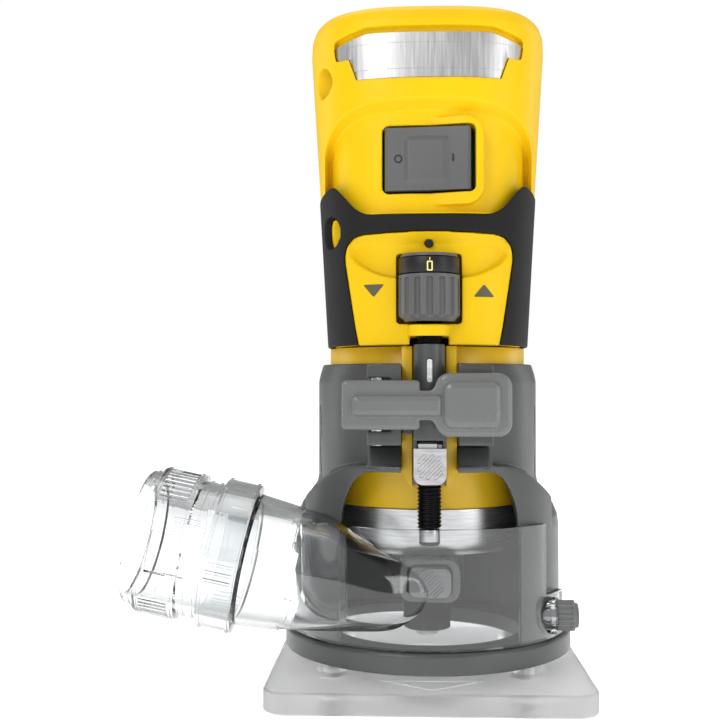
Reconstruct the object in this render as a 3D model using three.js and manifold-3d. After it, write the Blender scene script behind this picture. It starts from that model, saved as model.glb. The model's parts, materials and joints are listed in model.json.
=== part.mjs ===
// Trim router: a brushless motor body that slides in a clamping base with a clear dust shroud.
// Millimetres, +Z up. Every size is taken from the spindle axis and the plane of the sole; the
// whole group is then moved so that the router's box is centred over the origin.
import * as THREE from 'three';
import { mergeVertices } from 'three/addons/utils/BufferGeometryUtils.js';
import Module from 'manifold-3d';

const wasm = await Module();
wasm.setup();

// ---------------------------------------------------------------- driving dimensions

const gap = 0.3;                                   // clearance between neighbouring parts
const axisAt = { x: 23.3, y: 4.35 };               // where the spindle axis ends up
const round = { coarse: 8, medium: 16, fine: 32 };  // facets of a full circle

const plate = { half: 53.5, thick: 7.3, corner: 8, hole: 15, bossR: 5.3, bossX: 32.7, bossY: 24 };
const ring = { outer: 50.8, inner: 33, bottom: 11.9, top: 19 };
const cage = { outer: 46.8, inner: 42.3, shoulder: 55 };
const tube = { radius: 34.85, inner: 31.4, bottom: 62.7, top: 116.6 };
const collar = { outer: 39, bore: tube.radius + gap, bottom: 70, chamfer: 105, top: 111, split: 9.2 };
const window = { half: 29, top: 75.6, topHalf: 23, shoulder: 64 };
const ears = { outer: 20, web: 3, front: -50.6, bottom: 84.5, top: 110.5 };
const pivot = { x: -16.7, y: -48, r: 1.9 };
const lever = { left: -27.8, right: 25.6, bottom: 87.5, top: 107.6, tongueBottom: 89.7,
  tongueTop: 105.3, back: -51.8, face: -55, rib: -56, middle: 97.5 };
const rod = { y: -40.5, r: 4, bottom: 52, journal: 57, top: 144.9 };
const rail = { half: 9, channel: 5.6, front: -38.2, bottom: 68.4 };
const post = { half: 5.3, back: -38.5, front: -45.6, bottom: 72, sleeveBottom: 95, top: 117, face: -50.6 };
const release = { y: -46.9, z: 84.3, half: 5, rear: -48.3 };
const shield = { inner: cage.outer + gap, outer: 49.4, bottom: ring.top + gap, top: 57.7 };
const port = { x: -45.1, y: -38, z: 43.6, tilt: 11.8, wall: 2 };
const thumb = { y: -26, z: 26.5, seat: 42.4, r: 5.1, length: 7.2 };
const nose = { radius: 34, bottom: 46.8, snout: 13, snoutBottom: 33 };
const lock = { half: 10, bottom: 32.6, top: 46.5, front: -37, z: 39.5 };
const knob = { r: 10, bottom: 124.4, gripTop: 139.5, ringTop: 144.9, top: 146.2, hub: 6 };
const bay = { half: 10.7, bottom: 123.7, top: 146.9, back: -29.9 };
const rocker = { half: 14.2, bottom: 167.8, top: 188.6, face: -39.6, axisY: -35, tilt: 6 };
const seat = { y: 44, bottom: 160 };
const deckFace = -38.4;                            // plane of the switch deck
const deckBack = -36;                              // inner face of the wall behind it
const panelBack = -25;                             // how far round the flanks the front panel reaches
const skin = 2;                                    // thickness of the rubber overmould
const wall = { lower: 5, upper: 3, change: 172 };  // housing wall below and above this height

// Height, half width, front and back of the motor housing.
const housing = [
  [116.9, 35.0, 40.6, 37.0],
  [150.0, 36.9, 41.2, 39.0],
  [172.0, 38.2, 41.6, 46.0],
  [220.0, 41.2, 42.0, 46.0],
  [226.0, 40.7, 41.5, 45.5],
  [228.7, 38.8, 39.6, 43.6],
  [229.5, 36.2, 37.0, 41.0],
];
const squareness = 2.9;                            // exponent of the housing's superellipse
const housingScrews = [[-27, 206.5], [-27, 155.4], [29, 206.5], [29, 152], [25, 130]];  // y, z

const FINISH = {
  yellow: { color: '#f4cd12', roughness: 0.42, metalness: 0 },
  rubber: { color: '#2e2f31', roughness: 0.75, metalness: 0 },
  casting: { color: '#6d7073', roughness: 0.5, metalness: 0.2 },
  plastic: { color: '#77797b', roughness: 0.5, metalness: 0 },
  dark: { color: '#1d1e20', roughness: 0.5, metalness: 0 },
  clear: { color: '#eef2f3', roughness: 0.08, metalness: 0, transparent: true, opacity: 0.35 },
  steel: { color: '#b9bbbd', roughness: 0.32, metalness: 1 },
  blackSteel: { color: '#26272a', roughness: 0.4, metalness: 0.8 },
  aluminium: { color: '#a9acae', roughness: 0.4, metalness: 0.9 },
  copper: { color: '#b4672f', roughness: 0.4, metalness: 0.9 },
  board: { color: '#1f5a37', roughness: 0.6, metalness: 0 },
};

// ---------------------------------------------------------------- shapes and booleans

/** A closed three.js geometry as a manifold solid. */
function solidOf(geometry) {
  geometry.deleteAttribute('normal');
  geometry.deleteAttribute('uv');
  const merged = mergeVertices(geometry, 1e-4);
  const index = merged.index.array;
  const triangles = [];
  for (let i = 0; i < index.length; i += 3) {
    const [a, b, c] = [index[i], index[i + 1], index[i + 2]];
    if (a !== b && b !== c && c !== a) triangles.push(a, b, c);
  }
  return new wasm.Manifold(new wasm.Mesh({
    numProp: 3,
    vertProperties: merged.attributes.position.array,
    triVerts: new Uint32Array(triangles),
  }));
}

/** A manifold solid as a three.js geometry. */
function geometryOf(solid) {
  const mesh = solid.getMesh();
  const geometry = new THREE.BufferGeometry();
  geometry.setAttribute('position', new THREE.BufferAttribute(mesh.vertProperties, 3));
  geometry.setIndex(new THREE.BufferAttribute(mesh.triVerts, 1));
  return geometry;
}

const union = (solids) => solids.reduce((sum, solid) => sum.add(solid));
const radians = THREE.MathUtils.degToRad;
const cyclic = new THREE.Matrix4().makeBasis(
  new THREE.Vector3(0, 1, 0), new THREE.Vector3(0, 0, 1), new THREE.Vector3(1, 0, 0));

function extrude(points, length) {
  const shape = new THREE.Shape(points.map(([a, b]) => new THREE.Vector2(a, b)));
  return new THREE.ExtrudeGeometry(shape, { depth: length, bevelEnabled: false });
}

/** An (x, y) outline from z0 to z1. */
const alongZ = (points, z0, z1) => solidOf(extrude(points, z1 - z0).translate(0, 0, z0));

/** An (x, z) outline from y0 to y1. */
const alongY = (points, y0, y1) =>
  solidOf(extrude(points, y1 - y0).rotateX(Math.PI / 2).translate(0, y1, 0));

/** A (y, z) outline from x0 to x1. */
const alongX = (points, x0, x1) =>
  solidOf(extrude(points, x1 - x0).applyMatrix4(cyclic).translate(x0, 0, 0));

function block([x0, x1], [y0, y1], [z0, z1]) {
  const box = new THREE.BoxGeometry(x1 - x0, y1 - y0, z1 - z0);
  return solidOf(box.translate((x0 + x1) / 2, (y0 + y1) / 2, (z0 + z1) / 2));
}

/** An (r, z) profile turned about Z: it runs from the axis to the axis, or closes on itself. */
function turned(profile, facets) {
  const points = profile.map(([r, z]) => new THREE.Vector2(r, z));
  return solidOf(new THREE.LatheGeometry(points, facets).rotateX(Math.PI / 2));
}

/** A plain washer shape between two radii and two heights. */
const washer = (inner, outer, z0, z1, facets) =>
  turned([[inner, z0], [outer, z0], [outer, z1], [inner, z1], [inner, z0]], facets);

function arc(r, from, to, steps, cx = 0, cy = 0) {
  return Array.from({ length: steps + 1 }, (_, i) => {
    const a = radians(from + (to - from) * i / steps);
    return [cx + r * Math.cos(a), cy + r * Math.sin(a)];
  });
}

const circle = (r, facets, cx = 0, cy = 0) => arc(r, 0, 360, facets, cx, cy).slice(1);

const sector = (inner, outer, from, to, steps) =>
  [...arc(outer, from, to, steps), ...arc(inner, to, from, steps)];

function roundedRect(x0, x1, y0, y1, r, steps = 4) {
  const corners = [[x1 - r, y0 + r, -90], [x1 - r, y1 - r, 0], [x0 + r, y1 - r, 90], [x0 + r, y0 + r, 180]];
  return corners.flatMap(([cx, cy, start]) => arc(r, start, start + 90, steps, cx, cy));
}

/** A solid through closed sections of equally many [x, y, z] points, each one star-shaped. */
function loft(sections) {
  const count = sections[0].length;
  const middle = (section) => [0, 1, 2].map((k) => section.reduce((s, p) => s + p[k], 0) / count);
  const vertices = [...sections.flat(), middle(sections[0]), middle(sections.at(-1))];
  const [firstCentre, lastCentre] = [vertices.length - 2, vertices.length - 1];
  const lastRow = (sections.length - 1) * count;
  const index = [];
  for (let i = 0; i < count; i++) {
    const next = (i + 1) % count;
    for (let row = 0; row < lastRow; row += count) {
      index.push(row + i, row + next, row + count + i);
      index.push(row + next, row + count + next, row + count + i);
    }
    index.push(firstCentre, next, i);
    index.push(lastCentre, lastRow + i, lastRow + next);
  }
  const geometry = new THREE.BufferGeometry();
  geometry.setAttribute('position', new THREE.Float32BufferAttribute(vertices.flat(), 3));
  geometry.setIndex(index);
  return solidOf(geometry);
}

const router = new THREE.Group();

/** Adds one named part, with its own material, to the router. */
function part(name, solid, finish) {
  const mesh = new THREE.Mesh(geometryOf(solid), new THREE.MeshStandardMaterial(FINISH[finish]));
  mesh.name = name;
  router.add(mesh);
}

// ---------------------------------------------------------------- base

const corners = [[-1, -1], [1, -1], [1, 1], [-1, 1]];
const screw = { shank: 2, head: 4, headTop: 3.2, top: 17 };

/** Clear square sole with a cutter opening, spacer bosses and countersunk holes. */
function subBase() {
  const { half, thick, corner, hole, bossR, bossX, bossY } = plate;
  let body = alongZ(roundedRect(-half, half, -half, half, corner, 6), 0, thick);
  for (const [sx, sy] of corners) {
    body = body.add(alongZ(circle(bossR, round.medium, sx * bossX, sy * bossY), 0, ring.bottom - gap));
  }
  body = body.subtract(alongZ(circle(hole, round.fine), -1, thick + 1));
  for (const [sx, sy] of corners) {
    const bore = turned([[0, -1], [screw.head + 1, -1], [screw.head + 1, 0.6], [screw.shank + gap, screw.headTop],
      [screw.shank + gap, 20], [0, 20]], round.coarse);
    body = body.subtract(bore.translate([sx * bossX, sy * bossY, 0]));
  }
  return body;
}

function subBaseScrew([sx, sy]) {
  const profile = [[0, 0.6], [screw.head, 0.6], [screw.shank, screw.headTop], [screw.shank, screw.top], [0, screw.top]];
  return turned(profile, round.coarse).translate([sx * plate.bossX, sy * plate.bossY, 0]);
}

/** The outline of the arch round the front opening, in x and z. */
const archOutline = [
  [-cage.outer, ring.top], [cage.outer, ring.top], [cage.outer, cage.shoulder], [44.8, 62],
  [29.5, 77.6], [-29.5, 77.6], [-44.8, 62], [-cage.outer, cage.shoulder]];

const windowOutline = [
  [-window.half, ring.top], [window.half, ring.top], [window.half, window.shoulder],
  [window.topHalf, window.top], [-window.topHalf, window.top], [-window.half, window.shoulder]];

/** One clamping ear: a web next to the split, with a lug above and below its pocket. */
function ear(side) {
  const [a, b] = [collar.split, collar.split + ears.web];
  const span = (x0, x1) => (side > 0 ? [x0, x1] : [-x1, -x0]);
  const web = block(span(a, b), [ears.front, -34], [ears.bottom, ears.top]);
  const lugs = [[ears.bottom, lever.tongueBottom - 0.6], [lever.tongueTop + 0.6, ears.top]];
  const plates = lugs.map(([z0, z1]) => block(span(a, ears.outer), [ears.front, -30], [z0, z1]));
  return union([web, ...plates]);
}

/** Flange ring, cage, collar and ears, in one casting. */
function baseCasting() {
  const shell = turned([
    [ring.inner, ring.bottom], [ring.outer, ring.bottom], [ring.outer, ring.top - 0.8],
    [ring.outer - 0.8, ring.top], [cage.outer, ring.top], [cage.outer, cage.shoulder], [44.8, 62],
    [collar.outer, collar.bottom], [collar.outer, collar.chamfer], [collar.outer - 1.6, collar.top],
    [collar.bore, collar.top], [collar.bore, 66], [cage.inner, cage.shoulder], [cage.inner, ring.top],
    [ring.inner, ring.top], [ring.inner, ring.bottom]], round.fine);
  const hollow = turned([[0, ring.top - 1], [cage.inner, ring.top - 1], [cage.inner, cage.shoulder],
    [collar.bore, 66], [collar.bore, 130], [0, 130]], round.fine);
  const arch = alongY(archOutline, -60, -20).intersect(alongZ(circle(cage.outer, round.fine), 0, 90));
  const shoulder = alongX([[-30, 77], [-44.6, 77], [-38.6, 83.5], [-30, 83.5]], -ears.outer, ears.outer);
  const stays = [-1, 1].map((side) =>
    alongZ(circle(2.2, round.coarse, side * 31.5, -31), ring.top - 1, ring.top + 6));
  let body = union([shell, arch, shoulder]).subtract(hollow);
  body = union([body, ear(-1), ear(1)]).subtract(alongZ(circle(collar.bore, round.fine), 66, 130));
  body = body.subtract(alongY(windowOutline, -60, 0));
  body = body.subtract(block([-collar.split, collar.split], [-60, -20], [window.top - 1, 130]));
  body = union([body, ...stays]);
  const pinHole = alongZ(circle(pivot.r + gap, round.coarse, pivot.x, pivot.y), 80, 120);
  const boltHole = alongX(circle(2.2, round.coarse, pivot.y, lever.middle), -14, 14);
  const stud = alongX(circle(2.3, round.coarse, thumb.y, thumb.z), 20, 60);
  body = body.subtract(pinHole).subtract(boltHole).subtract(stud);
  for (const [sx, sy] of corners) {
    const tapped = circle(screw.shank + gap, round.coarse, sx * plate.bossX, sy * plate.bossY);
    body = body.subtract(alongZ(tapped, 0, screw.top + gap));
  }
  return body;
}

/** Nut post between the ears: a sleeve round the rod above, a block with the release pawl below. */
function depthNutPost() {
  const sleeve = alongZ(circle(5.1, round.medium, 0, rod.y), post.sleeveBottom, post.top);
  const body = block([-post.half, post.half], [post.front, post.back], [post.bottom, post.sleeveBottom]);
  const tabs = block([-8.9, 8.9], [-45.3, rail.front - gap], [88, 94]);
  const cheeks = [[4.1, post.half], [-post.half, -4.1]].flatMap((span) => [
    block(span, [-48, post.front + 0.1], [81, post.sleeveBottom]),
    block(span, [-49.3, -47.9], [86.2, post.sleeveBottom])]);
  const cover = block([-post.half, post.half], [post.face, -49.2], [86.2, post.sleeveBottom]);
  const bore = alongZ(circle(rod.r + 0.35, round.medium, 0, rod.y), 60, 130);
  const slot = block([-0.9, 0.9], [-47, rod.y], [105, 112]);
  const pinHole = alongX(circle(1.1, round.coarse, release.y, release.z), -8, 8);
  const relief = alongX(circle(1.8, round.medium, release.y, release.z), -3.9, 3.9);
  return union([sleeve, body, tabs, ...cheeks, cover]).subtract(union([bore, slot, pinHole, relief]));
}

const ductStations = [
  // x, centre y, centre z, half depth, half height, tilt
  [port.x - 2, port.y, port.z + 0.4, 20.2, 20.2, port.tilt],
  [-36, -39.4, 42.6, 18.6, 18.8, 8],
  [-28, -41.5, 41.2, 16.3, 16.9, 3],
  [-15, -42.5, 37.9, 13.2, 13.4, 0],
  [-8, -43, 37.2, 9.6, 11.6, 0],
  [-3, -44, 37.3, 6.8, 8.2, 0],
  [-0.4, -45, 37.6, 4.0, 3.6, 0],
];

function duct(inset) {
  const sections = ductStations.map(([x, y, z, depth, height, tilt]) => {
    const up = [Math.sin(radians(tilt)), Math.cos(radians(tilt))];
    return circle(1, 22).map(([c, s]) => [
      x + (height - inset) * s * up[0], y + (depth - inset) * c, z + (height - inset) * s * up[1]]);
  });
  return sections;
}

/** Turns a shape made about Z, with its foot at 0, onto the axis of the hose port. */
function onPort(solid) {
  return solid.rotate([0, port.tilt - 90, 0]).translate([port.x, port.y, port.z]);
}

/** Clear shroud: a shield round the front of the cage and a duct that leads off to the left. */
function dustShroud() {
  const insideCage = alongZ(circle(shield.inner, round.fine), 0, 80);
  const inner = loft(duct(port.wall));
  const horn = loft(duct(0)).subtract(inner).subtract(insideCage);
  const wallFrom = (from, to, z0, z1) => alongZ(sector(shield.inner, shield.outer, from, to, 18), z0, z1);
  const opening = inner.intersect(block([-window.half + 2, 10], [-60, -30], [20, 60]));
  const shieldWall = wallFrom(-158, -38, shield.bottom, shield.top).subtract(opening);
  const tab = wallFrom(-40, -22, shield.bottom, 34);
  const boss = alongX(circle(6.2, round.medium, thumb.y, thumb.z), 36, thumb.seat).subtract(insideCage);
  const socket = onPort(turned([[18.2, 0], [20.2, 0], [21.6, 14.4], [24.2, 14.8], [24.2, 26], [21, 26],
    [21, 15], [19.4, 14], [18.2, 0]], round.fine));
  const hole = alongX(circle(3.2, round.medium, thumb.y, thumb.z), 30, 60)
    .add(alongX(circle(thumb.r + 0.8, round.medium, thumb.y, thumb.z), thumb.seat, 60));
  const throat = onPort(alongZ(circle(18.2, round.fine), -4, 16)).intersect(block([-60, -43], [-80, 0], [0, 90]));
  return union([horn, shieldWall, tab, boss, socket]).subtract(hole).subtract(throat);
}

/** Clear hose port: spigot, neck, bayonet ring and lip, with three slots in the ring. */
function hosePort() {
  let body = turned([[18.6, 15.6], [20.7, 15.6], [20.7, 26.3], [22, 26.3], [22, 33], [23.7, 33.4],
    [23.7, 47], [21.8, 47.6], [21.8, 51.6], [19.4, 51.6], [18.6, 15.6]], round.fine);
  for (const angle of [30, 150, 270]) {
    const slot = alongZ(sector(22.3, 26, angle - 16, angle + 16, 6), 36.5, 43.5);
    body = body.subtract(slot);
  }
  return onPort(body);
}

function clampLever() {
  const { left, right, bottom, top, tongueBottom, tongueTop, back, face, rib } = lever;
  const tongue = roundedRect(left, -3.6, tongueBottom, tongueTop, 1, 2);
  const neck = [[-4, 92.8], [1, 92.8], [3, 89], [3, 106], [1, 102], [-4, 102]];
  const paddle = roundedRect(1.6, right, bottom, top, 4.5, 4);
  const body = union([alongY(tongue, face, back), alongY(neck, face, back), alongY(paddle, face, back)]);
  const ridge = alongY(roundedRect(-24.6, 3.4, 94.3, 100.4, 1, 2), rib, face + 0.1);
  const pad = alongY(roundedRect(4.1, 22.1, 90.3, 104.8, 3, 3), rib, face + 0.1);
  const knuckles = [[tongueBottom, 95.1], [99.9, tongueTop]].map(([z0, z1]) => {
    const eye = alongZ(circle(3.9, round.medium, pivot.x, pivot.y), z0, z1);
    return eye.add(block([pivot.x - 3.9, pivot.x + 3.9], [back - 0.1, pivot.y], [z0, z1]));
  });
  const pin = alongZ(circle(pivot.r + gap, round.coarse, pivot.x, pivot.y), 80, 120);
  return union([body, ridge, pad, ...knuckles]).subtract(pin);
}

function clampBolt() {
  const eye = alongZ(circle(3.4, round.medium, pivot.x, pivot.y), 95.5, 99.5);
  const shank = alongX(circle(1.8, round.coarse, pivot.y, lever.middle), pivot.x + 3, 18.4);
  return eye.add(shank).subtract(alongZ(circle(pivot.r + gap, round.coarse, pivot.x, pivot.y), 90, 105));
}

function clampNut() {
  const body = alongX(circle(3.1, 6, pivot.y, lever.middle), 12.5, 16);
  return body.subtract(alongX(circle(2.1, round.coarse, pivot.y, lever.middle), 10, 20));
}

function releaseButton() {
  const [a, z0, z1] = [release.half, post.bottom + 0.1, release.z + 0.9];
  const outline = [...arc(3, 180, 270, 3, 3 - a, z0 + 3), ...arc(3, 270, 360, 3, a - 3, z0 + 3), [a, z1], [-a, z1]];
  const face = alongY(outline, post.face, release.rear);
  const hub = alongX(circle(1.5, round.medium, release.y, release.z), -3.7, 2.3);
  const bridge = block([-3.7, 2.3], [release.rear - 0.1, release.y], [release.z - 1.4, release.z + 0.9]);
  const tail = block([-3.2, 2], [-47.4, -46.2], [release.z, 89]);
  const pin = alongX(circle(1, round.medium, release.y, release.z), -8, 8);
  const relief = [[3.8, 5.4], [-5.4, -3.8]].map((span) => block(span, [-48.9, -48], [79.5, z1 + 1]));
  return union([face, hub, bridge, tail]).subtract(union([pin, ...relief]));
}

/** Torsion spring beside the pawl's hub. */
const releaseSpring = () => alongX(circle(1.3, round.medium, release.y, release.z), 2.6, 3.8)
  .subtract(alongX(circle(1.05, round.medium, release.y, release.z), 0, 8));

function thumbKnob() {
  const facets = 24;
  const outline = circle(1, facets, 0, 0).map(([c, s], i) => {
    const r = i % 2 ? thumb.r : thumb.r - 0.5;
    return [thumb.y + r * c, thumb.z + r * s];
  });
  const x0 = thumb.seat + gap;
  const grip = alongX(outline, x0, x0 + thumb.length - 1.2);
  const cap = alongX(circle(thumb.r - 1, round.medium, thumb.y, thumb.z), x0 + 3, x0 + thumb.length);
  return grip.add(cap).subtract(alongX(circle(2.3, round.coarse, thumb.y, thumb.z), x0 - 1, x0 + 4));
}

const thumbStud = () => alongX(circle(2, round.coarse, thumb.y, thumb.z), 32, thumb.seat + 4);

const shroudBush = () => alongX(circle(2.95, round.medium, thumb.y, thumb.z), 40.7, thumb.seat - 0.2)
  .subtract(alongX(circle(2.3, round.medium, thumb.y, thumb.z), 30, 60));

part('sub_base', subBase(), 'clear');
corners.forEach((corner, i) => part(`sub_base_screw_${i + 1}`, subBaseScrew(corner), 'steel'));
part('base_casting', baseCasting(), 'casting');
part('depth_nut_post', depthNutPost(), 'casting');
part('dust_shroud', dustShroud(), 'clear');
part('hose_port', hosePort(), 'clear');
part('clamp_lever', clampLever(), 'plastic');
part('lever_pivot_pin', alongZ(circle(pivot.r, round.coarse, pivot.x, pivot.y), ears.bottom, ears.top), 'steel');
part('clamp_bolt', clampBolt(), 'steel');
part('clamp_nut', clampNut(), 'steel');
part('release_button', releaseButton(), 'steel');
part('release_pin', alongX(circle(0.8, round.coarse, release.y, release.z), -5.2, 5.2), 'steel');
part('release_spring', releaseSpring(), 'steel');
part('thumb_knob', thumbKnob(), 'plastic');
part('thumb_stud', thumbStud(), 'steel');
part('shroud_bush', shroudBush(), 'steel');

// ---------------------------------------------------------------- motor unit

/** Yellow aluminium tube that the base clamps, with a grooved rail for the depth rod. */
function motorSleeve() {
  const { radius, inner, bottom, top } = tube;
  const pipe = washer(inner, radius, bottom, top, round.fine);
  const spigot = washer(27.2, 29.4, top - 3, top + 3, round.fine)
    .subtract(block([-16, 16], [-40, -20], [top, top + 5]));
  const collarStep = washer(27.2, inner + 0.5, top - 3, top, round.fine);
  const foot = [...arc(rail.half, 180, 360, 10, 0, rail.bottom + rail.half), [rail.half, top], [-rail.half, top]];
  const pad = alongY(foot, rail.front, -33);
  const groove = block([-rail.channel, rail.channel], [-50, -radius - 0.1], [60, top + 1]);
  return union([pipe, spigot, collarStep, pad.subtract(groove)]);
}

/** Aluminium nose with the front bearing's seat and the snout round the spindle. */
function noseCasting() {
  return turned([
    [7.5, nose.snoutBottom], [nose.snout, nose.snoutBottom], [nose.snout, nose.bottom],
    [30, nose.bottom], [nose.radius, 51], [nose.radius, tube.bottom - gap], [31, tube.bottom - gap],
    [31, 56], [16, 52.5], [16, 59], [13.3, 59], [13.3, 49.5], [7.5, 49.5], [7.5, nose.snoutBottom]], round.fine)
    .subtract(alongY(circle(2.9, round.coarse, 0, lock.z), -20, 0));
}

/** Bracket that guides the spindle-lock button in front of the snout. */
function lockBracket() {
  const outline = roundedRect(-lock.half, lock.half, lock.bottom, lock.top, 4, 4);
  const pocket = alongY(roundedRect(-7.4, 7.4, lock.z - 5.4, lock.z + 5.4, 3, 4), -60, lock.front + 10);
  return alongY(outline, lock.front, -12).subtract(pocket)
    .subtract(alongZ(circle(nose.snout + gap, round.medium), 20, 60))
    .subtract(alongY(circle(2.9, round.coarse, 0, lock.z), -60, 0));
}

function lockButton() {
  const face = alongY(roundedRect(-7, 7, lock.z - 5, lock.z + 5, 2.6, 4), -41.5, -34.2);
  return face.subtract(alongY(circle(2.6, round.coarse, 0, lock.z), -38, -30));
}

/** Stator iron: a ring with six poles. */
function statorCore() {
  let core = washer(17, 28.4, 76, 106, round.fine);
  for (let i = 0; i < 6; i++) {
    const pocket = alongZ(sector(19.5, 25.4, 60 * i - 16, 60 * i + 16, 3), 70, 110);
    const mouth = alongZ(sector(15, 20, 60 * i - 4, 60 * i + 4, 1), 70, 110);
    core = core.subtract(pocket).subtract(mouth);
  }
  return core;
}

/** Copper windings: a bar through each pocket of the stator, joined by an end ring above. */
function statorWindings() {
  const bars = Array.from({ length: 6 }, (_, i) =>
    alongZ(sector(20.2, 24.7, 60 * i - 13, 60 * i + 13, 3), 72, 108));
  return union([washer(20, 26, 106.4, 110, round.medium), ...bars]);
}

/** Fan: a hub disc with blades standing on it. */
function fan() {
  const disc = washer(6.4, 26, 64.4, 66, round.medium);
  const blades = Array.from({ length: 11 }, (_, i) =>
    block([11, 26], [-0.7, 0.7], [65.5, 72]).rotate([0, 0, 360 / 11 * i]));
  return union([disc, ...blades, washer(6.4, 8, 64.4, 72, round.medium)]);
}

const spindleShaft = () => turned([
  [0, 28], [3.2, 20], [5.9, 20], [5.9, 33], [6.7, 33.5], [6.7, 49], [5.9, 49], [5.9, 60],
  [6, 74], [4.6, 74], [4.6, 110], [3.8, 110], [3.8, 121], [0, 121]], round.medium);

/** Hex nut with a plain bore over the spindle's thread. */
function colletNut() {
  const hex = alongZ(circle(9.4, 6), 17, 32.4).rotate([0, 0, 30]);
  const trim = turned([[0, 17], [8, 17], [9.6, 18.2], [9.6, 31.2], [8, 32.4], [0, 32.4]], round.medium);
  return hex.intersect(trim).subtract(turned([[0, 15], [4.4, 15], [4.4, 19.6], [6.3, 19.6], [6.3, 34], [0, 34]], round.medium));
}

const collet = () => turned([[3.3, 14.8], [4.1, 14.8], [4.1, 19.6], [3.3, 19.6], [3.3, 14.8]], round.medium);

/** The housing's outer body between two heights, drawn in by an inset. */
function housingBody(inset, z0 = housing[0][0], z1 = housing.at(-1)[0] - inset, facets = 36) {
  const sizeAt = (z) => {
    const i = Math.max(1, housing.findIndex(([height]) => height >= z));
    const [low, high] = [housing[i - 1], housing[i]];
    const t = (z - low[0]) / (high[0] - low[0]);
    return low.map((value, k) => value + (high[k] - value) * t);
  };
  const heights = [z0, ...housing.map(([z]) => z).filter((z) => z > z0 + 0.5 && z < z1 - 0.5), z1];
  const power = 2 / squareness;
  return loft(heights.map((z) => {
    const [, half, front, back] = sizeAt(Math.min(z + inset * (z > 215 ? 1 : 0), housing.at(-1)[0]));
    return circle(1, facets).map(([c, s]) => {
      const depth = s > 0 ? back : front;
      return [
        Math.sign(c) * Math.abs(c) ** power * (half - inset),
        Math.sign(s) * Math.abs(s) ** power * (depth - inset), z];
    });
  }));
}

const rubberOutline = [
  [-60, 167], [-38.5, 168], [-32, 171], [-22.4, 159.7], [22.4, 159.7], [32, 171], [38.5, 168],
  [60, 167], [60, 100], [-60, 100]];
const panelOutline = (grow) => [
  [-25.3 - grow, 153.2 + grow], [-28 - grow, 147.5], [-24 - grow, 120.7], [-21.5 - grow, 110],
  [21.5 + grow, 110], [24 + grow, 120.7], [28 + grow, 147.5], [25.3 + grow, 153.2 + grow]];
const plateOutline = (grow) => [
  [-23.6 - grow, 204.8 - grow], [23.6 + grow, 204.8 - grow], [26.3 + grow, 212], [30.6 + grow, 212],
  [31.4 + grow, 216.6], [21, 219.6 + grow], [-21, 219.6 + grow], [-31.4 - grow, 216.6],
  [-30.6 - grow, 212], [-26.3 - grow, 212]];

/** The clamshell before it is split: shell, switch deck, guard, screw bosses and battery rails. */
function housingShell() {
  const outer = housingBody(0);
  const cavity = housingBody(wall.lower, housing[0][0] - 1, wall.change + 0.1, 20)
    .add(housingBody(wall.upper, wall.change, housing.at(-1)[0] - 3.2, 20));
  const bosses = housingScrews.map(([y, z]) => alongX(circle(5.4, round.coarse, y, z), -60, 60).intersect(outer));
  const deck = [[-40, 160], [40, 160], [40, 184], [27, 191.5], [0, 193.4], [-27, 191.5], [-40, 184]];
  const guard = alongY(roundedRect(-17.9, 17.9, 163, 192.5, 6, 5), -42, -37)
    .intersect(block([2, 40], [-60, 0], [100, 240]));
  const rails = [-1, 1].flatMap((side) => {
    const span = (a, b) => [Math.min(side * a, side * b), Math.max(side * a, side * b)];
    return [block(span(21, 25), [seat.y - 4, 50], [166, 216]), block(span(17, 25), [47.5, 50], [166, 216])];
  });
  const deckWall = block([-34, 34], [-39.5, deckBack], [159, 196]).intersect(outer);
  let shell = union([outer.subtract(cavity), ...bosses, deckWall]);
  shell = shell.subtract(alongY(deck, -60, deckFace)).subtract(block([-60, 60], [seat.y, 60], [seat.bottom, 240]));
  shell = union([shell, guard, ...rails]);
  shell = shell.subtract(block([-14.9, 14.9], [-60, -30], [rocker.bottom - 0.6, rocker.top + 0.6]));
  shell = shell.subtract(block([-12.3, 12.3], [35, 60], [175, 209]));
  shell = shell.subtract(alongY(plateOutline(gap), -60, -20).subtract(housingBody(2.5)));
  shell = shell.subtract(alongY(rubberOutline, -60, 60).subtract(housingBody(skin + gap)));
  return shell.subtract(alongY(panelOutline(gap), -60, panelBack + gap));
}

/** Screw holes, head recesses from the left and cooling slots in both flanks. */
function housingCuts() {
  const holes = housingScrews.flatMap(([y, z]) => [
    alongX(circle(2.1, round.coarse, y, z), -60, 24),
    alongX(circle(4.6, round.medium, y, z), -60, -25)]);
  const slots = [0, 1, 2, 3].map((i) =>
    block([-60, 60], [-4, 20], [178 + 5.4 * i, 180.4 + 5.4 * i]));
  return union([...holes, ...slots]);
}

/** Rubber skin round the waist, open over the front panel and the screw recesses. */
function rubberSkin() {
  const zone = alongY(rubberOutline, -60, 60).subtract(alongY(panelOutline(gap), -60, -20));
  const skinBody = zone.intersect(housingBody(0)).subtract(housingBody(skin));
  const holes = housingScrews.map(([y, z]) => alongX(circle(5.6, round.medium, y, z), -60, -20));
  return skinBody.subtract(union(holes)).subtract(block([-60, 60], [seat.y - 0.2, 60], [100, 240]));
}

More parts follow.
